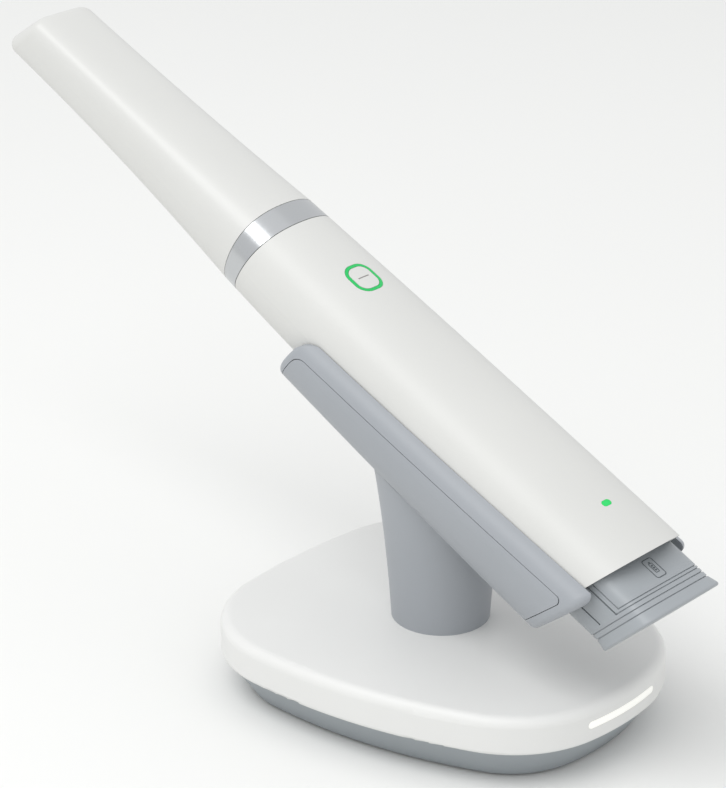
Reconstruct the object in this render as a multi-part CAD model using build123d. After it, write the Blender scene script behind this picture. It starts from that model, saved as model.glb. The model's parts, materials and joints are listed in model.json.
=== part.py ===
from build123d import *
import os
from math import cos, radians, sin

# Clearances
seam = 0.2  # visible parting lines
fit = 0.1  # pieces fixed to each other
slide_fit = 0.35  # pieces that slide on each other
past = 1.0  # how far a cut runs past the face that it opens
small_corner = 1.0  # boards, blocks and sockets

# Wand placement: the wand's own x runs to the tail, y across, z off its top line
wand_tilt = 25.2
button_x = -30.2
button_z = 119.9

# Handle, stations counted from the button
handle_front = -34.4
tail_station = 117.4
tail_slope = 0.42
handle_front_width = 34.8
handle_rear_width = 41.8
handle_front_height = 29.0
handle_rear_height = 32.8
handle_power = 2.35
handle_wall = 2.2

# Accent band
band_rear = -26.2
band_slope = 0.15

# Tip
tip_length = 110.8
tip_end_width = 25.2
tip_end_top = 3.8
tip_end_bottom = 22.0
tip_power = 3.4
tip_wall = 1.7
tip_end_slope = 0.6
tip_end_round = 3.2
tip_corner = 7.5
mirror_thick = 1.1
mirror_from_end = 12.0
window_length = 16.0
window_width = 16.5
window_round = 4.0

# Nose barrel under the tip
barrel_length = 48.0
barrel_wall = 2.0
flange_front = -24.0
flange_length = 4.0
seal_width = 2.0
seal_depth = 1.0
seal_from_band = 4.0
glass_thick = 1.5

# Scanning head
block_length = 40.0
block_width = 25.0
block_top = 8.2
block_bottom = 21.5
lens_reach = 18.0
lens_seat = 8.0
lens_rim = 1.2
lens_recess = 1.0
projector_diameter = 10.0
camera_diameter = 7.0
camera_offset = 8.6
engine_length = 20.0
engine_width = 18.0
engine_height = 11.0

# Boards and button
board_thick = 1.2
board_width = 24.0
board_length = 68.0
board_gap = 1.0
button_length = 11.0
button_width = 10.0
button_round = 4.0
ring_stroke = 1.05
button_gap = 0.15
button_travel = 0.5
ring_lip = 1.0
lip_thick = 1.0
switch_size = 6.0
switch_plunger = 3.2
light_station = 98.6
light_length = 3.4
light_width = 2.0
light_depth = 3.0
strip_length = 20.0
strip_width = 6.0
strip_thick = 0.8

# Belly cover
belly_front = 9.0
belly_line = 20.0
belly_boss = 3.2
screw_radius = 1.0
screw_head_radius = 1.9
screw_head = 1.4
screw_bite = 4.0

# Battery pack and its bay
bay_front = 50.0
bay_end_wall = 4.0
bay_recess = 5.0
bay_top = 4.0
battery_front = 58.0
battery_half_width = 16.6
battery_top = 6.2
battery_bottom = 26.8
battery_power = 4.0
battery_wall = 1.5
case_step = 0.6
cap_step = 0.7
lip_station = 135.7
lip_slope = 0.4
grip_length = 3.9
grip_step = 0.7
grip_round = 0.8
groove_width = 0.35
groove_depth = 0.3
lip_grooves = (3.9, 5.7)
frame_from_lip = 7.25
panel_from_lip = 8.3
panel_level = 10.0
slit_width = 0.5
slit_depth = 1.2
slit_levels = (11.6, 18.2)
cell_diameter = 14.0
cell_length = 34.0
pin_count = 4
pin_pitch = 4.5
pin_diameter = 1.6
pad_width = 2.7
contact_depth = 2.5

# Cradle
cradle_gap = 0.35
cradle_side = 4.6
cradle_front_under = 6.2
cradle_rear_under = 8.6
rim_front_station = 2.6
rim_front_level = 14.0
rim_rear_station = 117.8
rim_rear_level = 9.9
cradle_front_slope = 0.33
cradle_rear_slope = 0.49
cradle_front_round = 9.5
cradle_rear_round = 1.6
cradle_end_round = 2.0
rim_crown = 2.3
rim_roll = 9.8
rim_power = 3.0
keel_margin = 4.6
keel_front_margin = 2.7
keel_rear_margin = 4.0
keel_thick = 2.6
keel_front_round = 4.5
keel_rear_round = 1.5
cradle_screw_pitch = 16.0
cradle_screw_radius = 1.6
cradle_screw_head = 3.2
cradle_head_height = 2.0
cradle_head_sink = 0.6
screw_grip = 10.0

# Pillar
pillar_foot_radius = 14.4
pillar_waist_radius = 16.5
pillar_waist_level = 47.6
pillar_top_radius = 19.2
pillar_top_level = 68.1
pillar_flare = 3.6
spigot_radius = 11.0
bolt_radius = 3.0
bolt_head_radius = 5.5
bolt_head = 3.0
bolt_length = 34.0

# Foot
foot_back = 58.2
foot_front = 68.0
foot_half_width = 53.3
foot_widest = -18.0
foot_side_radius = 160.0
foot_front_radius = 85.0
foot_back_radius = 200.0
rear_corner = 33.2
front_corner = 34.8
corner_share = 0.9  # part of an end's width that its two corners may take
pad_thick = 1.0
tray_height = 10.3
tray_inset = 8.4
tray_undercut = 1.4
cover_height = 11.6
cover_round = 3.0
cover_lower_round = 1.2
cover_wall = 2.4
floor_thick = 2.0
ballast_thick = 8.5
ballast_inset = 14.0
pad_inset = 2.5
bar_length = 29.0
bar_height = 2.3
bar_level = 17.1
bar_flange = 1.0
light_board_thick = 1.2
light_board_height = 6.0
light_board_margin = 2.0
inlet_width = 9.4
inlet_height = 3.6
inlet_depth = 8.0
inlet_wall = 0.8
inlet_round = 1.6
tongue_width = 6.6
power_board_length = 24.0
power_board_width = 20.0
foot_screw_radius = 1.5
foot_screw_head = 2.8
foot_boss_radius = 3.6
rear_screw_inset = 24.2
rear_screw_margin = 19.3
front_screw_inset = 30.0
front_screw_margin = 29.3

tilt = radians(wand_tilt)
wand_place = Plane(
    origin=(button_x, 0, button_z),
    x_dir=(cos(tilt), 0, -sin(tilt)),
    z_dir=(sin(tilt), 0, cos(tilt)),
).location
reach = 400.0  # size of the blocks that trim one side of a plane


# Wand forms

def mix(first, last, share):
    return first + (last - first) * share


def ease(share):
    return 1 - (1 - share) ** 2


def fullness(power):
    return (8 * 0.5 ** (1 / power) - 4) / 3


def slant(station, slope):
    return Plane(origin=(station, 0, 0), x_dir=(0, 1, 0), z_dir=(1, 0, -slope))


def oval(station, half_width, top, bottom, power, low_power=None, middle=None, slope=0.0):
    stretch = (1 + slope**2) ** 0.5
    top, bottom = top * stretch, bottom * stretch
    middle = (top + bottom) / 2 if middle is None else middle * stretch
    upper = fullness(power)
    lower = fullness(low_power or power)
    high = mix(middle, top, upper)
    low = mix(middle, bottom, lower)
    edges = [
        Bezier((half_width, middle), (half_width, high), (half_width * upper, top), (0, top)),
        Bezier((0, top), (-half_width * upper, top), (-half_width, high), (-half_width, middle)),
        Bezier((-half_width, middle), (-half_width, low), (-half_width * lower, bottom), (0, bottom)),
        Bezier((0, bottom), (half_width * lower, bottom), (half_width, low), (half_width, middle)),
    ]
    return slant(station, slope) * make_face(edges)


def handle_size(station):
    share = ease((station - handle_front) / (tail_station - handle_front))
    width = mix(handle_front_width, handle_rear_width, share)
    height = mix(handle_front_height, handle_rear_height, share)
    return width, height


def handle_section(station, grow=0.0):
    width, height = handle_size(station)
    return oval(station, width / 2 + grow, grow, -height - grow, handle_power)


def cradle_section(station, inset=0.0):
    share = (station - rim_front_station) / (rim_rear_station - rim_front_station)
    width, height = handle_size(station)
    crown = rim_crown - mix(rim_front_level, rim_rear_level, share)
    bottom = -height - mix(cradle_front_under, cradle_rear_under, share)
    half_width = width / 2 + cradle_side - inset
    return oval(
        station, half_width, crown - inset, bottom + inset, rim_power, handle_power, crown - rim_roll
    )


def tip_section(station, grow=0.0):
    share = ease((handle_front - station) / tip_length)
    width = mix(handle_front_width, tip_end_width, share)
    top = -tip_end_top * share
    bottom = -mix(handle_front_height, tip_end_bottom, share)
    return oval(station, width / 2 + grow, top + grow, bottom - grow, mix(handle_power, tip_power, share))


def battery_section(station, grow=0.0, slope=0.0):
    half_width = battery_half_width + grow
    top, bottom = grow - battery_top, -battery_bottom - grow
    return oval(station, half_width, top, bottom, battery_power, slope=slope)


def form(section, start, end, **sizes):
    spans = 2
    return loft([section(mix(start, end, i / spans), **sizes) for i in range(spans + 1)])


def battery_form(start, end, grow=0.0):
    return extrude(battery_section(start, grow), amount=end - start, dir=(1, 0, 0))


def behind(station, slope=0.0):
    side = (Align.CENTER, Align.CENTER, Align.MIN)
    return slant(station, slope) * Box(reach, reach, reach, align=side)


def ahead(station, slope=0.0):
    side = (Align.CENTER, Align.CENTER, Align.MAX)
    return slant(station, slope) * Box(reach, reach, reach, align=side)


def upright(sketch, bottom, top):
    return extrude(Plane.XY.offset(bottom) * sketch, amount=top - bottom)


def along_wand(sketch, start, end):
    plane = Plane(origin=(start, 0, 0), x_dir=(0, 1, 0), z_dir=(1, 0, 0))
    return extrude(plane * sketch, amount=end - start)


nodes = {}


def add_wand(name, solid):
    nodes[name] = wand_place * solid


# Tip sleeve with its mirror
tip_end = handle_front - tip_length
tip_run = tip_end - tip_corner
corner_y = tip_end_width / 2 + seam
end_plan = make_face(
    Polyline(
        (tip_end, -corner_y),
        (tip_end, corner_y),
        (handle_front + past, handle_front_width),
        (handle_front + past, -handle_front_width),
        close=True,
    )
)
end_plan = fillet(end_plan.vertices().sort_by(Axis.X)[:2], tip_corner)
end_lean = Vector(tip_end_slope, 0, 1)
end_depth = 2 * handle_front_height
end_foot = end_lean * -end_depth + Vector(tip_end_slope * tip_end_bottom, 0, 0)
end_block = extrude(Location(end_foot) * end_plan, amount=2 * end_depth * end_lean.length, dir=end_lean)
tip_outer = form(tip_section, handle_front, tip_run) & end_block
end_face = tip_outer.faces().sort_by(Axis.X)[0]
end_edges = end_face.edges().filter_by(lambda edge: abs((edge % 0.5).Z) < 0.6)
tip_outer = fillet(end_edges, tip_end_round)
tip_axis_level = -(tip_end_top + tip_end_bottom) / 2
mirror_station = tip_end + mirror_from_end
mirror_plane = Plane(origin=(mirror_station, 0, tip_axis_level), x_dir=(0, 1, 0), z_dir=(1, 0, -1))
mirror_side = mirror_plane * Box(reach, reach, reach, align=(Align.CENTER, Align.CENTER, Align.MIN))
tip_cavity = form(tip_section, handle_front + past, tip_run, grow=-tip_wall) & mirror_side
window_level = -tip_end_bottom + tip_wall
tip_window = upright(
    Pos(mirror_station, 0) * RectangleRounded(window_length, window_width, window_round),
    -handle_front_height,
    window_level + tip_wall / 4,
)
add_wand("tip_sleeve", tip_outer - tip_cavity - tip_window)
mirror_slab = mirror_plane * Pos(0, 0, fit) * Box(
    reach, reach, mirror_thick, align=(Align.CENTER, Align.CENTER, Align.MIN)
)
add_wand("tip_mirror", form(tip_section, handle_front, tip_run, grow=-tip_wall - fit) & mirror_slab)

# Nose barrel, seal and front glass
barrel_front = handle_front - barrel_length
flange_rear = flange_front + flange_length


def barrel_form(start, end, inset):
    nose = form(tip_section, handle_front, start, grow=-tip_wall - slide_fit - inset)
    collar_inset = max(tip_wall + slide_fit, handle_wall + fit + seam) + inset
    collar = tip_section(handle_front, -collar_inset)
    return nose + extrude(collar, amount=end - handle_front, dir=(1, 0, 0))


seal_rear = handle_front - seal_from_band
seal_front = seal_rear - seal_width
seal_floor = form(tip_section, seal_rear, seal_front, grow=-tip_wall - slide_fit - seal_depth)
barrel = barrel_form(barrel_front, flange_rear, 0)
barrel += form(handle_section, flange_front, flange_rear, grow=-handle_wall - fit)
barrel -= barrel_form(barrel_front - past, flange_rear + past, barrel_wall)
seal_ring = form(tip_section, seal_rear, seal_front, grow=-tip_wall) - seal_floor
barrel -= seal_ring
add_wand("nose_barrel", barrel)
seal = form(tip_section, seal_rear - fit, seal_front + fit, grow=-tip_wall - fit)
add_wand("nose_seal", seal - seal_floor)
glass_inset = slide_fit + barrel_wall + fit
glass = form(tip_section, barrel_front, barrel_front + glass_thick, grow=-tip_wall - glass_inset)
add_wand("front_window", glass)

# Accent band
band = form(handle_section, handle_front + seam, flange_rear) & ahead(band_rear, band_slope)
band -= barrel_form(barrel_front, flange_rear + past, -fit)
add_wand("accent_band", band)

# Scanning head behind the barrel's flange
block_rear = flange_rear + block_length
block_height = block_bottom - block_top
lens_level = -(block_top + block_bottom) / 2
block_face = Pos(0, lens_level) * RectangleRounded(block_width, block_height, small_corner)
lens_spots = (
    ("projector_lens", 0.0, projector_diameter),
    ("camera_left", camera_offset, camera_diameter),
    ("camera_right", -camera_offset, camera_diameter),
)
block = along_wand(block_face, flange_rear, block_rear)
for name, across, diameter in lens_spots:
    spot = Pos(across, lens_level)
    block -= along_wand(spot * Circle(diameter / 2 + fit), flange_rear - past, flange_rear + lens_seat)
    lens_front = flange_rear - lens_reach
    lens = along_wand(spot * Circle(diameter / 2), lens_front, flange_rear + lens_seat)
    lens -= along_wand(spot * Circle(diameter / 2 - lens_rim), lens_front, lens_front + lens_recess)
    add_wand(name, lens)
engine_face = Pos(0, lens_level) * RectangleRounded(engine_width, engine_height, small_corner)
add_wand("light_engine", along_wand(engine_face, block_rear, block_rear + engine_length))

# Main board with the switch under the button
board_top = board_thick - block_top
board_middle = flange_rear + board_gap + board_length / 2
board_outline = Pos(board_middle, 0) * RectangleRounded(board_length, board_width, small_corner)
add_wand("main_board", upright(board_outline, -block_top, board_top))
ring_bottom = -handle_wall - lip_thick
cap_bottom = ring_bottom - button_gap - lip_thick
plunger_top = cap_bottom - button_travel - fit
switch_top = (board_top + plunger_top) / 2
switch = upright(RectangleRounded(switch_size, switch_size, small_corner), board_top, switch_top)
switch += upright(Circle(switch_plunger / 2), switch_top, plunger_top)
add_wand("button_switch", switch)

# Scan button and its lit ring, both flush with the handle
wand_end = lip_station + grip_length  # forms run this far and are then trimmed
handle_outer = form(handle_section, handle_front, wand_end)
handle_inner = form(handle_section, handle_front - past, wand_end + past, grow=-handle_wall)


def button_outline(inset):
    return RectangleRounded(button_length - 2 * inset, button_width - 2 * inset, button_round - inset)


def flush_plug(outline, bottom):
    return upright(outline, bottom, handle_wall) & handle_outer


ring_inside = button_outline(ring_stroke)
ring = flush_plug(button_outline(fit), ring_bottom)
ring += upright(button_outline(-ring_lip), ring_bottom, 0) & form(
    handle_section, -button_length, button_length, grow=-handle_wall - fit
)
ring -= upright(ring_inside, ring_bottom - past, handle_wall)
add_wand("button_light_ring", ring)
cap = flush_plug(button_outline(ring_stroke + button_gap), cap_bottom)
cap += upright(button_outline(0), cap_bottom, cap_bottom + lip_thick)
add_wand("button_cap", cap)

# Status light over its small board
light_outline = Pos(light_station, 0) * SlotOverall(light_length, light_width, rotation=90)
add_wand("status_light", flush_plug(light_outline, -light_depth))
strip_top = -light_depth - fit / 2
strip_outline = Pos(light_station, 0) * RectangleRounded(strip_length, strip_width, small_corner)
add_wand("status_board", upright(strip_outline, strip_top - strip_thick, strip_top))

# Battery bay
bay = form(handle_section, bay_front, lip_station, grow=-handle_wall - fit)
bay -= behind(tail_station - bay_recess, tail_slope)
bay -= upright(Rectangle(2 * reach, reach), -bay_top, reach)
bay -= battery_form(bay_front + bay_end_wall, wand_end, slide_fit - case_step)
add_wand("battery_bay", bay)
battery_level = -(battery_top + battery_bottom) / 2
contact_rear = bay_front + bay_end_wall + contact_depth
contact_size = (pin_count * pin_pitch, 3 * pin_diameter)
contact_face = Pos(0, battery_level) * RectangleRounded(*contact_size, small_corner)
pin_rows = [(i - (pin_count - 1) / 2) * pin_pitch for i in range(pin_count)]
contacts = along_wand(contact_face, bay_front + bay_end_wall, contact_rear)
pin_round = Circle(pin_diameter / 2)
pins = [along_wand(Pos(y, battery_level) * pin_round, contact_rear, battery_front - fit) for y in pin_rows]
add_wand("contact_block", contacts)
add_wand("contact_pins", Compound(pins))

# Handle shell and belly cover
shell = handle_outer - handle_inner
shell &= behind(band_rear + seam, band_slope)
shell -= behind(tail_station, tail_slope)
shell -= upright(button_outline(0), -belly_line / 2, handle_wall)
light_hole = Pos(light_station, 0) * SlotOverall(light_length + fit, light_width + fit, rotation=90)
shell -= upright(light_hole, -belly_line / 2, past)
belly_outline = Pos(belly_front + reach / 2, 0) * Rectangle(reach, reach)
belly = shell & upright(belly_outline, -reach, -belly_line)
shell -= upright(Pos(-seam, 0) * belly_outline, -reach, seam - belly_line)
belly_screws = [(belly_front + block_rear) / 2, bay_front + bay_end_wall / 2]
belly_floor = -handle_section(belly_screws[0]).bounding_box().size.Z
boss_outline = Pos(belly_screws[0], 0) * Circle(belly_boss)
belly += upright(boss_outline, belly_floor + handle_wall / 2, -block_bottom - fit)
add_wand("handle_shell", shell)
screws = []
for station, level in zip(belly_screws, (-block_bottom, -battery_bottom - slide_fit - screw_bite / 2)):
    spot = Pos(station, 0)
    floor = -handle_section(station).bounding_box().size.Z
    screw = upright(spot * Circle(screw_radius), floor + fit, level + screw_bite)
    screw += upright(spot * Circle(screw_head_radius), floor + fit, floor + screw_head)
    room = upright(spot * Circle(screw_radius + fit), floor - past, level + screw_bite + fit)
    room += upright(spot * Circle(screw_head_radius + fit), floor - past, floor + screw_head + fit)
    belly -= room
    block -= room
    nodes["battery_bay"] -= wand_place * room
    screws.append(screw)
add_wand("handle_belly", belly)
add_wand("optics_block", block)
add_wand("belly_screws", Compound(screws))

# Battery pack: case in the bay, end cap outside
cap_start = tail_station - bay_recess + slide_fit
case = battery_form(battery_front, lip_station, -case_step) - behind(cap_start - fit, tail_slope)
case_back = battery_front + battery_wall + cell_length + 2 * fit
case_inset = -case_step - battery_wall
case -= battery_form(battery_front + battery_wall, case_back, case_inset)
case_end = behind(cap_start - 2 * battery_wall, tail_slope)
case -= battery_form(case_back - fit, lip_station, case_inset) - case_end
pads = []
for y in pin_rows:
    pad_face = Pos(y, battery_level) * Rectangle(pad_width, 2 * pin_diameter)
    pads.append(along_wand(pad_face, battery_front, battery_front + battery_wall / 2))
case -= Compound(pads)
add_wand("battery_case", case)
add_wand("battery_contacts", Compound(pads))
cells = []
for side in (-1, 1):
    spot = Pos(side * (cell_diameter / 2 + fit), battery_level)
    cell_front = battery_front + battery_wall + fit
    cells.append(along_wand(spot * Circle(cell_diameter / 2), cell_front, cell_front + cell_length))
add_wand("battery_cells", Compound(cells))

end_run = battery_front, wand_end
grip_start = lip_station - grip_length
end_cap = battery_form(*end_run, cap_step) & behind(cap_start, tail_slope)
end_cap -= behind(grip_start, lip_slope)
flare_start = battery_section(grip_start, cap_step, lip_slope)
flare_end = battery_section(lip_station, cap_step + grip_step, lip_slope)
end_cap += loft([flare_start, flare_end])
end_cap = fillet(end_cap.faces().sort_by(Axis.X)[-1].edges(), min(grip_round, 0.9 * grip_step))
cap_around = battery_form(*end_run, cap_step + past)
skin = cap_around - battery_form(*end_run, cap_step - groove_depth)
deep_skin = cap_around - battery_form(*end_run, cap_step - slit_depth)
for distance in lip_grooves:
    station = lip_station - distance
    end_cap -= skin & ahead(station, lip_slope) & behind(station - groove_width, lip_slope)
frames = (frame_from_lip, slit_levels[0]), (panel_from_lip, panel_level)
for distance, level in frames:
    station = lip_station - distance
    frame_line = skin & ahead(station, lip_slope) & behind(station - groove_width, lip_slope)
    end_cap -= frame_line & upright(Rectangle(2 * reach, reach), -level, 0)
border = upright(Rectangle(2 * reach, reach), -panel_level - groove_width, -panel_level)
end_cap -= (skin & border) - behind(lip_station - panel_from_lip, lip_slope)
for level in slit_levels:
    slit = upright(Rectangle(2 * reach, reach), -level - slit_width, -level)
    end_cap -= (deep_skin & slit) - behind(lip_station - frame_from_lip, lip_slope)
add_wand("battery_end_cap", end_cap)

# Cradle: a trough that follows the handle, with an inset outer shell
trough_run = handle_front, wand_end
cradle_outer = form(cradle_section, *trough_run)
trough = form(handle_section, *trough_run, grow=cradle_gap)
front_plane = rim_front_station + cradle_front_slope * rim_front_level, cradle_front_slope
rear_plane = rim_rear_station + cradle_rear_slope * rim_rear_level, cradle_rear_slope


def side_profile(top, ahead_of, behind_of, front_round, rear_round):
    front = rim_front_station + ahead_of - cradle_front_slope * top, -rim_front_level - top
    rear = rim_rear_station - behind_of - cradle_rear_slope * top, -rim_rear_level - top
    deep = handle_rear_height + 2 * cradle_rear_under
    rear_foot = rear[0] - cradle_rear_slope * (deep + rear[1]), -deep
    front_foot = front[0] - cradle_front_slope * (deep + front[1]), -deep
    outline = make_face(Polyline(front, rear, rear_foot, front_foot, close=True))
    outline = fillet(outline.vertices().sort_by_distance((*front, 0))[0], front_round)
    outline = fillet(outline.vertices().sort_by_distance((*rear, 0))[0], rear_round)
    return extrude(Plane.XZ * outline, amount=reach / 2, both=True)


cradle_body = cradle_outer - ahead(*front_plane) - behind(*rear_plane)
end_faces = cradle_body.faces().filter_by(GeomType.PLANE).sort_by(Axis.X)
cradle_body = fillet(end_faces[0].edges() + end_faces[-1].edges(), cradle_end_round)
tub = (cradle_body & side_profile(-seam, -seam, -seam, cradle_front_round, cradle_rear_round)) - trough
keel_edge = keel_margin, keel_front_margin, keel_rear_margin
keel_rounds = keel_front_round, keel_rear_round
keel = cradle_body - form(cradle_section, *trough_run, inset=keel_thick)
keel &= side_profile(*keel_edge, *keel_rounds)
keel_room = cradle_outer - form(cradle_section, *trough_run, inset=keel_thick + fit)
keel_room &= side_profile(*(margin - seam for margin in keel_edge), *keel_rounds)
cradle = tub - keel_room

# Pillar under the keel
base_top = pad_thick + tray_height + cover_height
flare = ThreePointArc(
    (pillar_foot_radius, base_top),
    (pillar_waist_radius, pillar_waist_level),
    (pillar_top_radius, pillar_top_level),
)
crown = pillar_top_level + pillar_top_radius
crown_radius = pillar_top_radius + pillar_flare
pillar_outline = make_face(
    [
        flare,
        Polyline(
            flare @ 1, (crown_radius, crown), (0, crown), (0, base_top), (pillar_foot_radius, base_top)
        ),
    ]
)
pillar = revolve(Plane.XZ * pillar_outline, Axis.Z)
pillar -= wand_place * form(cradle_section, *trough_run, inset=-fit / 2)
pillar -= wand_place * upright(Rectangle(2 * reach, reach), -handle_front_height, reach)
ballast_top = pad_thick + floor_thick + ballast_thick
pillar += upright(Circle(spigot_radius), ballast_top, base_top)
bolt = upright(Circle(bolt_radius), pad_thick, pad_thick + bolt_length)
bolt += upright(Circle(bolt_head_radius), pad_thick, pad_thick + bolt_head)
bolt_room = upright(Circle(bolt_radius + fit), pad_thick, pad_thick + bolt_length + fit)
bolt_room += upright(Circle(bolt_head_radius + fit), pad_thick, pad_thick + bolt_head + fit)
pillar -= bolt_room

# Screws from the trough into the pillar
keel_drop = handle_rear_height + cradle_rear_under
pillar_station = -button_x * cos(tilt) + (keel_drop - button_x * sin(tilt)) / cos(tilt) * sin(tilt)
cradle_screws = []
for step in (-0.5, 0.5):
    station = pillar_station + step * cradle_screw_pitch
    spot = Pos(station, 0)
    floor = -handle_section(station, cradle_gap).bounding_box().size.Z + cradle_gap
    head_top = floor - cradle_head_sink
    head_bottom = head_top - cradle_head_height
    foot = floor - cradle_rear_under - screw_grip
    screw = upright(spot * Circle(cradle_screw_radius), foot, head_bottom)
    screw += upright(spot * Circle(cradle_screw_head), head_bottom, head_top)
    room = upright(spot * Circle(cradle_screw_radius + fit), foot - fit, head_bottom)
    room += upright(spot * Circle(cradle_screw_head + fit), head_bottom - fit, floor + past)
    cradle -= room
    keel -= room
    pillar -= wand_place * room
    cradle_screws.append(screw)
add_wand("cradle_tray", cradle)
add_wand("cradle_keel", keel)
add_wand("cradle_screws", Compound(cradle_screws))
nodes["pillar"] = pillar
nodes["pillar_bolt"] = bolt

# Foot outline: four large arcs with rounded corners
side_centre = foot_half_width - foot_side_radius
front_centre = foot_front - foot_front_radius


def corner_room(run):
    # at this radius the two corners of one end meet on the centre line
    return (foot_side_radius**2 - side_centre**2 - run**2) / (2 * (foot_side_radius - run))


rear_round = min(rear_corner, corner_share * corner_room(foot_back + foot_widest))
front_round = min(front_corner, corner_share * corner_room(foot_front - foot_widest))


def foot_outline(inset=0.0):
    side_disc = Circle(foot_side_radius - inset)
    nose_radius = foot_front_radius - inset
    sketch = Pos(foot_widest, side_centre) * side_disc & Pos(foot_widest, -side_centre) * side_disc
    nose = Pos(front_centre, 0) * Rot(0, 0, 180) * Circle(nose_radius)
    sketch &= nose + Pos(front_centre - reach / 2, 0) * Rectangle(reach, 2 * nose_radius)
    sketch &= Pos(foot_back_radius - foot_back, 0) * Circle(foot_back_radius - inset)
    sketch = fillet(sketch.vertices().sort_by(Axis.X)[:2], rear_round - inset)
    return fillet(sketch.vertices().sort_by(Axis.X)[-2:], front_round - inset)


tray_top = pad_thick + tray_height
cover = upright(foot_outline(), tray_top + seam, base_top)
cover = fillet(cover.faces().sort_by(Axis.Z)[-1].edges(), cover_round)
cover = fillet(cover.faces().sort_by(Axis.Z)[0].edges(), min(cover_lower_round, cover_wall / 2))
cover -= upright(foot_outline(cover_wall), tray_top, base_top - cover_wall)
cover -= upright(Circle(spigot_radius + fit), tray_top, base_top + past)


def tray_form(bottom, wall):
    low = Plane.XY.offset(bottom) * foot_outline(tray_inset + wall)
    high = Plane.XY.offset(tray_top) * foot_outline(tray_undercut + wall)
    return loft([low, high])


tray = tray_form(pad_thick, 0) - tray_form(pad_thick + floor_thick, cover_wall)
ballast = upright(foot_outline(ballast_inset), pad_thick + floor_thick, ballast_top)
ballast -= bolt_room
tray -= bolt_room

# Screws that hold the tray to the cover
rear_spot = (rear_screw_inset - foot_back, foot_half_width - rear_screw_margin)
front_spot = (foot_front - front_screw_inset, foot_half_width - front_screw_margin)
foot_screws = []
for x, y in (rear_spot, front_spot):
    for side in (-1, 1):
        spot = Pos(x, side * y)
        boss = upright(spot * Circle(foot_boss_radius), ballast_top, base_top - cover_wall / 2)
        cover += boss
        screw_top = base_top - 2 * cover_wall
        screw = upright(spot * Circle(foot_screw_radius), pad_thick, screw_top)
        screw += upright(spot * Circle(foot_screw_head), pad_thick, pad_thick + floor_thick - fit)
        room = upright(spot * Circle(foot_screw_radius + fit), pad_thick - past, screw_top + fit)
        room += upright(spot * Circle(foot_screw_head + fit), pad_thick - past, pad_thick + floor_thick)
        foot_screws.append(screw)
        cover -= room
        tray -= room
        ballast -= room

# Light bar in the front wall, with its board behind
bar_plane = Plane(origin=(0, 0, bar_level), x_dir=(0, 1, 0), z_dir=(1, 0, 0))
foot_block = upright(foot_outline(), tray_top, base_top)
behind_wall = upright(foot_outline(cover_wall + fit), tray_top, base_top)
behind_bar = upright(foot_outline(cover_wall + fit + bar_flange), tray_top, base_top)


def bar_prism(grow):
    return extrude(bar_plane * SlotOverall(bar_length + grow, bar_height + grow), amount=reach)


cover -= bar_prism(0)
bar = (foot_block - behind_bar) & bar_prism(-fit)
bar += (behind_wall - behind_bar) & bar_prism(2 * bar_flange)
board_front = bar.bounding_box().min.X - fit
light_board_length = bar_length + 2 * light_board_margin
light_board_face = bar_plane * RectangleRounded(light_board_length, light_board_height, small_corner)
light_board = Pos(board_front, 0, 0) * extrude(light_board_face, amount=-light_board_thick)

# Power inlet in the back wall, on a board that lies on the ballast
power_level = max(ballast_top, tray_top + seam)
inlet_level = power_level + board_thick + inlet_height / 2
inlet_plane = Plane(origin=(-foot_back, 0, inlet_level), x_dir=(0, 1, 0), z_dir=(1, 0, 0))


def inlet_prism(grow, start, end):
    outline = RectangleRounded(inlet_width + grow, inlet_height + grow, inlet_round + grow / 2)
    return extrude(inlet_plane.offset(start) * outline, amount=end - start)


cover -= inlet_prism(2 * fit, -past, 2 * cover_wall)
inlet = inlet_prism(0, inlet_wall, inlet_depth)
inlet -= inlet_prism(-inlet_wall, 0, inlet_depth - inlet_wall)
tongue = inlet_plane.offset(2 * inlet_wall) * Rectangle(tongue_width, inlet_wall)
inlet += extrude(tongue, amount=inlet_depth - 2 * inlet_wall)
power_board_start = cover_wall + board_gap - foot_back
power_board_outline = Pos(power_board_start + power_board_length / 2, 0) * RectangleRounded(
    power_board_length, power_board_width, small_corner
)

nodes["base_cover"] = cover
nodes["base_tray"] = tray
nodes["ballast_plate"] = ballast
nodes["base_screws"] = Compound(foot_screws)
nodes["base_light_bar"] = bar
nodes["light_board"] = light_board
nodes["power_inlet"] = inlet
nodes["power_board"] = upright(power_board_outline, power_level, power_level + board_thick)
nodes["base_pad"] = upright(foot_outline(tray_inset + pad_inset), 0, pad_thick)

os.makedirs("parts", exist_ok=True)
for name, solid in nodes.items():
    export_step(solid, f"parts/{name}.step")
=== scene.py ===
import bpy
import bmesh
import json
from math import cos, radians, sin
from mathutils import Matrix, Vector
from mathutils.bvhtree import BVHTree


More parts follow.
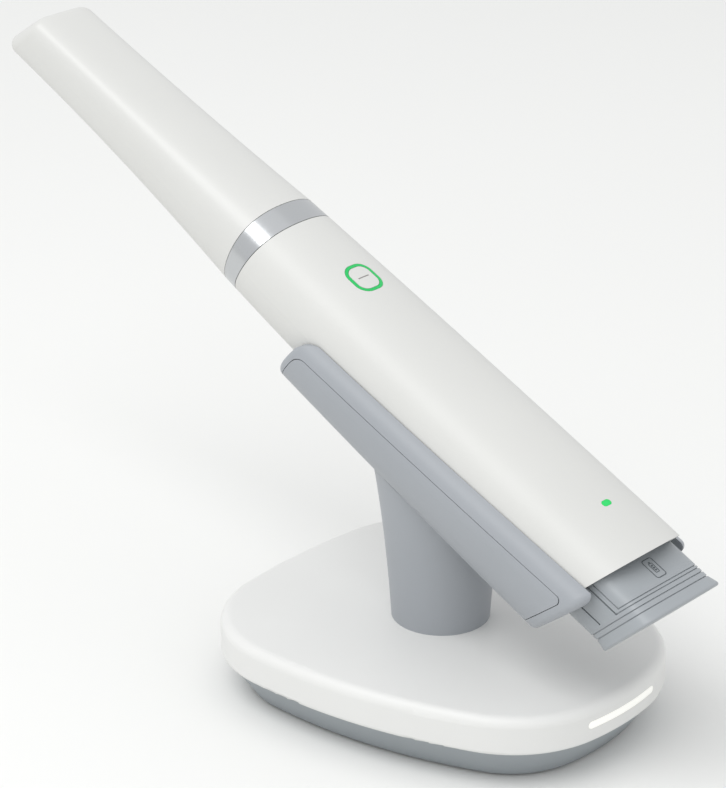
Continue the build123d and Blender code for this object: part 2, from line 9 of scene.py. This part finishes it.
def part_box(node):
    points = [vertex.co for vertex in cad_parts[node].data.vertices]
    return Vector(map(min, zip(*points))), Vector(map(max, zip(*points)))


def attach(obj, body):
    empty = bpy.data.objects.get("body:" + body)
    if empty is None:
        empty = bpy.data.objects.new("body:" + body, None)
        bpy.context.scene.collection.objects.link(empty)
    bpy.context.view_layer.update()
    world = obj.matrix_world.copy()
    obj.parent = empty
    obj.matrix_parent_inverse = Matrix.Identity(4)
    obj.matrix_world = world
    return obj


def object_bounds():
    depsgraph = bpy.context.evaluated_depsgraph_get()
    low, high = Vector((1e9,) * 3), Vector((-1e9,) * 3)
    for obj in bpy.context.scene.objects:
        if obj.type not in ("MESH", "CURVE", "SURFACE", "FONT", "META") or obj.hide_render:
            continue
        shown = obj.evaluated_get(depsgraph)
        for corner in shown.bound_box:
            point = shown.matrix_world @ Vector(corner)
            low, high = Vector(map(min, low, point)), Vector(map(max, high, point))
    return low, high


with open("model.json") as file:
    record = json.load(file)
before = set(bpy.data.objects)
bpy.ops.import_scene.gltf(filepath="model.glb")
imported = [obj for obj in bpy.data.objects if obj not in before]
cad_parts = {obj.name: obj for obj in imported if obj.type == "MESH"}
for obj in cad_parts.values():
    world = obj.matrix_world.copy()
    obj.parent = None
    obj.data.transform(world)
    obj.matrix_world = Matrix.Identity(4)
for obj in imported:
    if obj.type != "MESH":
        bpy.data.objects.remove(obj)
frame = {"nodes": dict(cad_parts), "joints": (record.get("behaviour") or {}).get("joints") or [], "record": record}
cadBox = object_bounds()
nodes = frame["nodes"]
mm = 0.001
print("frame: loaded", len(nodes), "nodes")

# The wand's own directions and the button's place, all from the frame
jointAxis = {joint["name"]: Vector(joint["axis"]).normalized() for joint in frame["joints"]}
toTail = -jointAxis["tip_pull"]
offTop = -jointAxis["button_press"]
across = offTop.cross(toTail)
buttonLow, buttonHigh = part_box("button_cap")
buttonSpot = (buttonLow + buttonHigh) / 2
wandTilt = toTail.angle(Vector((1, 0, 0)))


# Small helpers

def hexToLinear(code):
    values = [int(code[i:i + 2], 16) / 255 for i in (1, 3, 5)]
    linear = [v / 12.92 if v <= 0.04045 else ((v + 0.055) / 1.055) ** 2.4 for v in values]
    return (*linear, 1.0)


def addNode(tree, kind, inputs=None, **settings):
    node = tree.nodes.new(kind)
    for name, value in settings.items():
        setattr(node, name, value)
    for name, value in (inputs or {}).items():
        if isinstance(value, bpy.types.NodeSocket):
            tree.links.new(value, node.inputs[name])
        else:
            node.inputs[name].default_value = value
    return node


def blankMaterial(name):
    material = bpy.data.materials.new(name)
    material.use_nodes = True
    material.node_tree.nodes.clear()
    return material, material.node_tree


# Finishes

# Moulded plastics: a faint cloud in the colour from the flow of the melt, and a fine
# eroded tool texture that breaks up the highlight. The real grain is about 0.1 mm and is
# drawn several times coarser so that it shows.
mouldTexture = {"cloudDetail": 2.0, "grainDetail": 1.5, "reliefStrength": 0.6}


def mouldedPlastic(look):
    material, tree = blankMaterial(look["name"])
    place = addNode(tree, "ShaderNodeTexCoord").outputs["Object"]
    cloudScale = 1 / (look["cloudMm"] * mm)
    grainScale = 1 / (look["grainMm"] * mm)
    cloud = addNode(
        tree, "ShaderNodeTexNoise",
        {"Vector": place, "Scale": cloudScale, "Detail": mouldTexture["cloudDetail"]},
    )
    grain = addNode(
        tree, "ShaderNodeTexNoise",
        {"Vector": place, "Scale": grainScale, "Detail": mouldTexture["grainDetail"]},
    )
    tone = addNode(
        tree, "ShaderNodeMix",
        {0: cloud.outputs["Fac"], 6: hexToLinear(look["shade"]), 7: hexToLinear(look["colour"])},
        data_type="RGBA",
    )
    low, high = look["roughness"]
    sheen = addNode(
        tree, "ShaderNodeMapRange", {"Value": cloud.outputs["Fac"], "To Min": low, "To Max": high}
    )
    relief = addNode(
        tree, "ShaderNodeBump",
        {
            "Height": grain.outputs["Fac"], "Distance": look["grainDepthMm"] * mm,
            "Strength": mouldTexture["reliefStrength"],
        },
    )
    shader = addNode(
        tree, "ShaderNodeBsdfPrincipled",
        {
            "Base Color": tone.outputs[2],
            "Roughness": sheen.outputs["Result"],
            "Normal": relief.outputs["Normal"],
            "IOR": look["ior"],
        },
    )
    addNode(tree, "ShaderNodeOutputMaterial", {"Surface": shader.outputs["BSDF"]})
    return material


# ABS, satin: the white shells look soft and warm with a broad dull highlight
whiteAbs = {
    "name": "moulded white ABS satin",
    "colour": "#D5D5D2", "shade": "#D0D0CD",
    "cloudMm": 38.0, "grainMm": 0.7, "grainDepthMm": 0.012,
    "roughness": (0.42, 0.48), "ior": 1.53,
}
# The same plastic on the foot, painted a shade whiter as painted light: the lighter colour makes up for the light
# the wand and cradle keep off the foot's top
paintedLightWhiteCover = {
    "name": "moulded white ABS foot cover with painted light",
    "colour": "#E3E3E1", "shade": "#DFDFDD",
    "cloudMm": 42.0, "grainMm": 0.7, "grainDepthMm": 0.012,
    "roughness": (0.42, 0.48), "ior": 1.53,
}
# Polysulfone that stands the steam steriliser: a tighter highlight than the handle
whitePolysulfone = {
    "name": "moulded white polysulfone",
    "colour": "#D4D4D1", "shade": "#D0D0CD",
    "cloudMm": 30.0, "grainMm": 0.6, "grainDepthMm": 0.006,
    "roughness": (0.36, 0.42), "ior": 1.63,
}
# ABS in a cool grey, fine matt: edges catch light as a pale blurred line
greyAbs = {
    "name": "moulded grey ABS matt",
    "colour": "#A0A4A9", "shade": "#9A9EA3",
    "cloudMm": 34.0, "grainMm": 0.7, "grainDepthMm": 0.02,
    "roughness": (0.42, 0.5), "ior": 1.53,
}
# Polycarbonate of the battery pack: a little darker and closer grained
greyPolycarbonate = {
    "name": "moulded grey polycarbonate",
    "colour": "#9FA4A8", "shade": "#999EA2",
    "cloudMm": 26.0, "grainMm": 0.6, "grainDepthMm": 0.014,
    "roughness": (0.38, 0.46), "ior": 1.585,
}
# ABS of the lower pan: dark grey, dull, with a grain that hides scuffs
darkAbs = {
    "name": "moulded dark grey ABS",
    "colour": "#989EA2", "shade": "#91979B",
    "cloudMm": 30.0, "grainMm": 0.9, "grainDepthMm": 0.03,
    "roughness": (0.5, 0.58), "ior": 1.53,
}
# Glass filled nylon inside the wand: near black and dry
blackNylon = {
    "name": "moulded black nylon",
    "colour": "#1E1F21", "shade": "#18191B",
    "cloudMm": 12.0, "grainMm": 0.5, "grainDepthMm": 0.02,
    "roughness": (0.5, 0.6), "ior": 1.53,
}
# Lens housings: black anodised, with a soft sheen on the rims
blackAnodised = {
    "name": "black anodised lens housing",
    "colour": "#141517", "shade": "#101113",
    "cloudMm": 6.0, "grainMm": 0.3, "grainDepthMm": 0.006,
    "roughness": (0.28, 0.36), "ior": 1.5,
}
# Silicone: dark, smooth and slightly waxy
siliconeSeal = {
    "name": "moulded silicone seal",
    "colour": "#2A2B2D", "shade": "#242527",
    "cloudMm": 8.0, "grainMm": 0.4, "grainDepthMm": 0.008,
    "roughness": (0.4, 0.5), "ior": 1.41,
}
# Foamed rubber pad: matt with an open grain
rubberPad = {
    "name": "foamed rubber pad",
    "colour": "#2E2F31", "shade": "#262729",
    "cloudMm": 16.0, "grainMm": 1.1, "grainDepthMm": 0.12,
    "roughness": (0.75, 0.85), "ior": 1.52,
}
# Shrink sleeve on the cells: glossy blue vinyl
vinylSleeve = {
    "name": "shrunk vinyl sleeve",
    "colour": "#24508F", "shade": "#204880",
    "cloudMm": 9.0, "grainMm": 1.4, "grainDepthMm": 0.02,
    "roughness": (0.22, 0.3), "ior": 1.54,
}
# Ink: flat and dry, so it never flashes with the plastic under it
printedInk = {
    "name": "pad printed grey ink",
    "colour": "#8D8A88", "shade": "#878482",
    "cloudMm": 3.0, "grainMm": 0.2, "grainDepthMm": 0.002,
    "roughness": (0.6, 0.66), "ior": 1.5,
}
# Darker ink for the sign on the battery
darkInk = {
    "name": "pad printed dark ink",
    "colour": "#565C60", "shade": "#50565A",
    "cloudMm": 3.0, "grainMm": 0.2, "grainDepthMm": 0.002,
    "roughness": (0.6, 0.66), "ior": 1.5,
}


# Metals: fine turning or rolling lines that stretch the reflection across them.
# The lines are about 0.05 mm apart on the real part and are drawn coarser so that they show.
metalTexture = {"lineDetail": 2.0, "reliefStrength": 0.5}


def linedMetal(look):
    material, tree = blankMaterial(look["name"])
    place = addNode(tree, "ShaderNodeTexCoord").outputs["Object"]
    pitch = 1 / (look["lineMm"] * mm)
    spread = pitch * look["stretch"]
    turned = addNode(
        tree, "ShaderNodeVectorRotate", {"Vector": place, "Angle": -wandTilt}, rotation_type="Y_AXIS"
    )
    lined = addNode(
        tree, "ShaderNodeVectorMath",
        {0: turned.outputs["Vector"], 1: (pitch, spread, spread)}, operation="MULTIPLY",
    )
    lines = addNode(
        tree, "ShaderNodeTexNoise",
        {"Vector": lined.outputs["Vector"], "Scale": 1.0, "Detail": metalTexture["lineDetail"]},
    )
    low, high = look["roughness"]
    sheen = addNode(
        tree, "ShaderNodeMapRange", {"Value": lines.outputs["Fac"], "To Min": low, "To Max": high}
    )
    relief = addNode(
        tree, "ShaderNodeBump",
        {
            "Height": lines.outputs["Fac"], "Distance": look["lineDepthMm"] * mm,
            "Strength": metalTexture["reliefStrength"],
        },
    )
    shader = addNode(
        tree, "ShaderNodeBsdfPrincipled",
        {
            "Base Color": hexToLinear(look["colour"]),
            "Metallic": 1.0,
            "Roughness": sheen.outputs["Result"],
            "Normal": relief.outputs["Normal"],
        },
    )
    addNode(tree, "ShaderNodeOutputMaterial", {"Surface": shader.outputs["BSDF"]})
    return material


# Anodised aluminium ring: silver, with one bright band where it faces the lamp
silverAnodised = {
    "name": "turned anodised aluminium", "colour": "#C4C6C8",
    "lineMm": 0.5, "lineDepthMm": 0.002, "stretch": 0.02, "roughness": (0.2, 0.27),
}
# Milled aluminium of the optics block: grey with dull cutter lines
milledAluminium = {
    "name": "machined aluminium block", "colour": "#B9BBBD",
    "lineMm": 0.6, "lineDepthMm": 0.006, "stretch": 0.04, "roughness": (0.3, 0.42),
}
# Zinc plated screws: a darker, slightly patchy shine
platedSteel = {
    "name": "zinc plated steel", "colour": "#A9ABAE",
    "lineMm": 0.4, "lineDepthMm": 0.004, "stretch": 0.3, "roughness": (0.28, 0.38),
}
# Gold flash on the contacts: warm and bright on the rounded ends
platedGold = {
    "name": "gold plated contact", "colour": "#E2B355",
    "lineMm": 0.3, "lineDepthMm": 0.002, "stretch": 0.3, "roughness": (0.18, 0.26),
}
# Mirror in the tip: almost no blur, so the window shows in it
silveredGlass = {
    "name": "front silvered mirror", "colour": "#F2F3F3",
    "lineMm": 4.0, "lineDepthMm": 0.0002, "stretch": 0.8, "roughness": (0.015, 0.03),
}


# Acrylic light guides: the light behind them fills the whole depth, so they glow
# evenly, with a slight fall towards the places between the diodes
def litAcrylic(look):
    material, tree = blankMaterial(look["name"])
    place = addNode(tree, "ShaderNodeTexCoord").outputs["Object"]
    patchScale = 1 / (look["patchMm"] * mm)
    patch = addNode(tree, "ShaderNodeTexNoise", {"Vector": place, "Scale": patchScale, "Detail": 1.0})
    tone = addNode(
        tree, "ShaderNodeMix",
        {0: patch.outputs["Fac"], 6: hexToLinear(look["shade"]), 7: hexToLinear(look["colour"])},
        data_type="RGBA",
    )
    shader = addNode(
        tree, "ShaderNodeBsdfPrincipled",
        {
            "Base Color": tone.outputs[2],
            "Emission Color": tone.outputs[2],
            "Emission Strength": look["glow"],
            "Roughness": look["roughness"],
            "IOR": look["ior"],
        },
    )
    addNode(tree, "ShaderNodeOutputMaterial", {"Surface": shader.outputs["BSDF"]})
    return material


# Ring round the button: an even green line, a little deeper between the diodes
greenGuide = {
    "name": "lit green acrylic ring", "colour": "#16BB5D", "shade": "#12B056",
    "patchMm": 5.0, "glow": 0.1, "roughness": 0.3, "ior": 1.49,
}
# Status light: the same green, brighter because one diode sits right behind it
greenPin = {
    "name": "lit green acrylic pin", "colour": "#19CB62", "shade": "#14BE58",
    "patchMm": 1.5, "glow": 0.18, "roughness": 0.3, "ior": 1.49,
}
# Opal bar in the foot: milky white, bright enough to lose its shading
opalBar = {
    "name": "lit opal acrylic bar", "colour": "#F6F5F0", "shade": "#F1F0EB",
    "patchMm": 9.0, "glow": 0.25, "roughness": 0.3, "ior": 1.49,
}


# Optical glass with a blue antireflection coat
def coatedGlass(look):
    material, tree = blankMaterial(look["name"])
    edge = addNode(tree, "ShaderNodeLayerWeight", {"Blend": look["edgeBlend"]})
    tone = addNode(
        tree, "ShaderNodeMix",
        {0: edge.outputs["Facing"], 6: hexToLinear(look["colour"]), 7: hexToLinear(look["shade"])},
        data_type="RGBA",
    )
    shader = addNode(
        tree, "ShaderNodeBsdfPrincipled",
        {
            "Base Color": tone.outputs[2],
            "Transmission Weight": 1.0,
            "Roughness": look["roughness"],
            "IOR": look["ior"],
        },
    )
    addNode(tree, "ShaderNodeOutputMaterial", {"Surface": shader.outputs["BSDF"]})
    return material


# Window in the nose: clear face on, bluish at a slant
windowGlass = {
    "name": "coated optical glass", "colour": "#E6F0F4", "shade": "#B9CBE6",
    "edgeBlend": 0.3, "roughness": 0.02, "ior": 1.52,
}


# Solder mask over copper: dark green with slightly raised straight tracks
def solderMask(look):
    material, tree = blankMaterial(look["name"])
    place = addNode(tree, "ShaderNodeTexCoord").outputs["Object"]
    trackScale = 1 / (look["trackMm"] * mm)
    tracks = addNode(
        tree, "ShaderNodeTexBrick",
        {
            "Vector": place, "Scale": trackScale, "Mortar Size": look["trackShare"],
            "Color1": hexToLinear(look["colour"]), "Color2": hexToLinear(look["shade"]),
            "Mortar": hexToLinear(look["track"]),
        },
    )
    relief = addNode(
        tree, "ShaderNodeBump",
        {
            "Height": tracks.outputs["Fac"], "Distance": look["trackDepthMm"] * mm,
            "Strength": look["reliefStrength"],
        },
    )
    shader = addNode(
        tree, "ShaderNodeBsdfPrincipled",
        {
            "Base Color": tracks.outputs["Color"],
            "Normal": relief.outputs["Normal"],
            "Roughness": look["roughness"],
            "IOR": look["ior"],
        },
    )
    addNode(tree, "ShaderNodeOutputMaterial", {"Surface": shader.outputs["BSDF"]})
    return material


# Circuit boards: a green skin in which the tracks stand out a shade lighter
boardMask = {
    "name": "solder mask on copper", "colour": "#145238", "shade": "#11482F", "track": "#1E6B48",
    "trackMm": 3.0, "trackDepthMm": 0.03, "trackShare": 0.06, "reliefStrength": 0.5,
    "roughness": 0.35, "ior": 1.55,
}

finishes = {
    "shell_white": mouldedPlastic(whiteAbs),
    # the foot cover's finish is the handle's white ABS painted lighter, as painted light
    "cover_white": mouldedPlastic(paintedLightWhiteCover),
    "tip_white": mouldedPlastic(whitePolysulfone),
    "cradle_grey": mouldedPlastic(greyAbs),
    "battery_grey": mouldedPlastic(greyPolycarbonate),
    "tray_grey": mouldedPlastic(darkAbs),
    "inner_black": mouldedPlastic(blackNylon),
    "lens_black": mouldedPlastic(blackAnodised),
    "seal_rubber": mouldedPlastic(siliconeSeal),
    "pad_rubber": mouldedPlastic(rubberPad),
    "cell": mouldedPlastic(vinylSleeve),
    "band_silver": linedMetal(silverAnodised),
    "chassis": linedMetal(milledAluminium),
    "steel": linedMetal(platedSteel),
    "contact_gold": linedMetal(platedGold),
    "mirror": linedMetal(silveredGlass),
    "ring_green": litAcrylic(greenGuide),
    "status_green": litAcrylic(greenPin),
    "light_bar": litAcrylic(opalBar),
    "window_glass": coatedGlass(windowGlass),
    "board": solderMask(boardMask),
}
inkGrey = mouldedPlastic(printedInk)
inkDark = mouldedPlastic(darkInk)
print("finishes:", len(finishes))

# Each node takes its slot's finish and keeps its shape
for part in frame["record"]["subparts"]:
    piece = nodes[part["node"]]
    piece.data.materials.clear()
    piece.data.materials.append(finishes[part["material_slot"]])


# Printed marks: thin films laid on the surface of a node

def surfaceOf(node):
    mesh = nodes[node].data
    return BVHTree.FromPolygons([v.co for v in mesh.vertices], [p.vertices[:] for p in mesh.polygons])


def wandPoint(station, sideways, height):
    return buttonSpot + toTail * station + across * sideways + offTop * height


def printMark(name, node, body, ink, strips, look):
    surface = surfaceOf(node)
    mesh = bpy.data.meshes.new(name)
    built = bmesh.new()
    for strip in strips:
        rows = [[], []]
        for left, right in strip:
            for row, spot in zip(rows, (left, right)):
                start = wandPoint(*spot, look["searchMm"] * mm)
                hit, normal = surface.ray_cast(start, -offTop)[:2]
                row.append(built.verts.new(hit + normal * look["filmMm"] * mm))
        for i in range(len(strip) - 1):
            built.faces.new((rows[0][i], rows[1][i], rows[1][i + 1], rows[0][i + 1]))
    bmesh.ops.remove_doubles(built, verts=built.verts, dist=look["filmMm"] * mm / 4)
    bmesh.ops.recalc_face_normals(built, faces=built.faces)
    if sum((face.normal for face in built.faces), Vector()).dot(offTop) < 0:
        bmesh.ops.reverse_faces(built, faces=built.faces)
    grown = bmesh.ops.extrude_face_region(built, geom=list(built.faces))
    lifted = [item for item in grown["geom"] if isinstance(item, bmesh.types.BMVert)]
    bmesh.ops.translate(built, verts=lifted, vec=offTop * look["filmMm"] * mm)
    bmesh.ops.recalc_face_normals(built, faces=built.faces)
    built.to_mesh(mesh)
    built.free()
    mark = bpy.data.objects.new(name, mesh)
    bpy.context.scene.collection.objects.link(mark)
    mesh.materials.append(ink)
    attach(mark, body)


def straightStrip(start, end, width, steps):
    first, last = Vector(start) * mm, Vector(end) * mm
    side = (last - first).orthogonal().normalized() * width * mm / 2
    spots = [first.lerp(last, i / steps) for i in range(steps + 1)]
    return [((spot + side)[:], (spot - side)[:]) for spot in spots]


def frameStrip(centre, length, width, corner, stroke, steps):
    middle = Vector(centre) * mm
    strip = []
    for turn, (signX, signY) in enumerate(((1, 1), (-1, 1), (-1, -1), (1, -1))):
        hub = middle + Vector((signX * (length / 2 - corner), signY * (width / 2 - corner))) * mm
        for i in range(steps + 1):
            angle = radians(90 * (turn + i / steps))
            ray = Vector((cos(angle), sin(angle))) * mm
            strip.append(((hub + ray * corner)[:], (hub + ray * (corner - stroke))[:]))
    return strip + strip[:1]


buttonDash = {
    "station": 0.2, "halfLengthMm": 2.1, "strokeMm": 0.36, "filmMm": 0.02, "searchMm": 20.0, "steps": 8,
}
dashHalf = buttonDash["halfLengthMm"]
dashEnds = [(buttonDash["station"], side * dashHalf) for side in (-1, 1)]
printMark(
    "button_dash", "button_cap", "button", inkGrey,
    [straightStrip(*dashEnds, buttonDash["strokeMm"], buttonDash["steps"])], buttonDash,
)

batteryMark = {
    "station": 120.2, "lengthMm": 6.9, "widthMm": 4.3, "cornerMm": 0.9, "strokeMm": 0.3,
    "cellLengthMm": 3.4, "cellWidthMm": 1.7, "cellCornerMm": 0.3, "cellStrokeMm": 0.24,
    "poleMm": 0.7, "poleWidthMm": 0.5, "barMm": 0.55, "barGapMm": 0.8, "barCount": 3,
    "filmMm": 0.02, "searchMm": 20.0, "steps": 5, "barSteps": 2,
}
markSpot = (batteryMark["station"], 0)
cellEnd = batteryMark["station"] - batteryMark["cellLengthMm"] / 2
strips = [
    frameStrip(
        markSpot, batteryMark["lengthMm"], batteryMark["widthMm"],
        batteryMark["cornerMm"], batteryMark["strokeMm"], batteryMark["steps"],
    ),
    frameStrip(
        markSpot, batteryMark["cellLengthMm"], batteryMark["cellWidthMm"],
        batteryMark["cellCornerMm"], batteryMark["cellStrokeMm"], batteryMark["steps"],
    ),
    straightStrip(
        (cellEnd - batteryMark["poleWidthMm"], 0), (cellEnd, 0),
        batteryMark["poleMm"], batteryMark["barSteps"],
    ),
]
for i in range(batteryMark["barCount"]):
    fromMiddle = i - (batteryMark["barCount"] - 1) / 2
    barStation = batteryMark["station"] + fromMiddle * batteryMark["barGapMm"]
    barHalf = batteryMark["cellWidthMm"] / 2 - 2 * batteryMark["cellStrokeMm"]
    barEnds = [(barStation, side * barHalf) for side in (-1, 1)]
    strips.append(straightStrip(*barEnds, batteryMark["barMm"], batteryMark["barSteps"]))
printMark("battery_mark", "battery_end_cap", "battery", inkDark, strips, batteryMark)
print("marks: printed on button and battery")

# Floor: a pale matt sweep
floorLook = {
    "name": "pale paper sweep", "colour": "#EEEEEC", "shade": "#EBEBE9",
    "cloudMm": 400.0, "grainMm": 2.0, "grainDepthMm": 0.02,
    "roughness": (0.85, 0.9), "ior": 1.45, "sideM": 9.0,
}
bpy.ops.mesh.primitive_plane_add(size=floorLook["sideM"], location=(0, 0, 0))
floor = bpy.context.object
floor.name = "studio_floor"
floor.data.materials.append(mouldedPlastic(floorLook))

# Light: large soft boxes placed by azimuth and elevation round the object's middle
boxMiddle = (cadBox[0] + cadBox[1]) / 2
softBoxes = [
    {
        "name": "key", "azimuth": -2.0, "elevation": 60.0,
        "distanceM": 1.3, "sizeM": (1.2, 0.6), "power": 7.0,
    },
    {
        "name": "top", "azimuth": 100.0, "elevation": 82.0,
        "distanceM": 1.3, "sizeM": (1.4, 1.4), "power": 0.8,
    },
    {
        "name": "left", "azimuth": -62.0, "elevation": 14.0,
        "distanceM": 1.4, "sizeM": (1.0, 0.7), "power": 0.3,
    },
    {
        "name": "front", "azimuth": 42.0, "elevation": 30.0,
        "distanceM": 1.4, "sizeM": (1.0, 1.0), "power": 0.6,
    },
]


def direction(azimuth, elevation):
    a, e = radians(azimuth), radians(elevation)
    return Vector((sin(a) * cos(e), -cos(a) * cos(e), sin(e)))


for box in softBoxes:
    lamp = bpy.data.lights.new(box["name"], "AREA")
    lamp.shape = "RECTANGLE"
    lamp.size, lamp.size_y = box["sizeM"]
    lamp.energy = box["power"]
    holder = bpy.data.objects.new(box["name"], lamp)
    away = direction(box["azimuth"], box["elevation"])
    holder.location = boxMiddle + away * box["distanceM"]
    holder.rotation_mode = "QUATERNION"
    holder.rotation_quaternion = (-away).to_track_quat("-Z", "Y")
    bpy.context.scene.collection.objects.link(holder)

roomLook = {"colour": "#F4F5F6", "strength": 0.92}
world = bpy.data.worlds.new("soft room")
bpy.context.scene.world = world
world.use_nodes = True
world.node_tree.nodes.clear()
room = addNode(
    world.node_tree, "ShaderNodeBackground",
    {"Color": hexToLinear(roomLook["colour"]), "Strength": roomLook["strength"]},
)
addNode(world.node_tree, "ShaderNodeOutputWorld", {"Surface": room.outputs["Background"]})
bpy.context.scene.view_settings.view_transform = "Standard"
print("light: soft boxes", len(softBoxes))

# Camera at the photograph's angle
cameraLook = {
    "azimuth": 42.35, "elevation": 24.05, "distanceMm": 846.5,
    "aimSidewaysMm": -22.63, "aimHeightMm": 92.55, "lensMm": 137.06,
}
lens = bpy.data.cameras.new("camera")
lens.lens = cameraLook["lensMm"]
camera = bpy.data.objects.new("camera", lens)
bpy.context.scene.collection.objects.link(camera)
bpy.context.scene.camera = camera
backwards = direction(cameraLook["azimuth"], cameraLook["elevation"])
turn = radians(cameraLook["azimuth"])
sideways = Vector((cos(turn), sin(turn), 0))
aim = (sideways * cameraLook["aimSidewaysMm"] + Vector((0, 0, cameraLook["aimHeightMm"]))) * mm
camera.location = aim + backwards * cameraLook["distanceMm"] * mm
camera.rotation_mode = "QUATERNION"
camera.rotation_quaternion = (-backwards).to_track_quat("-Z", "Y")
print("camera: in place")
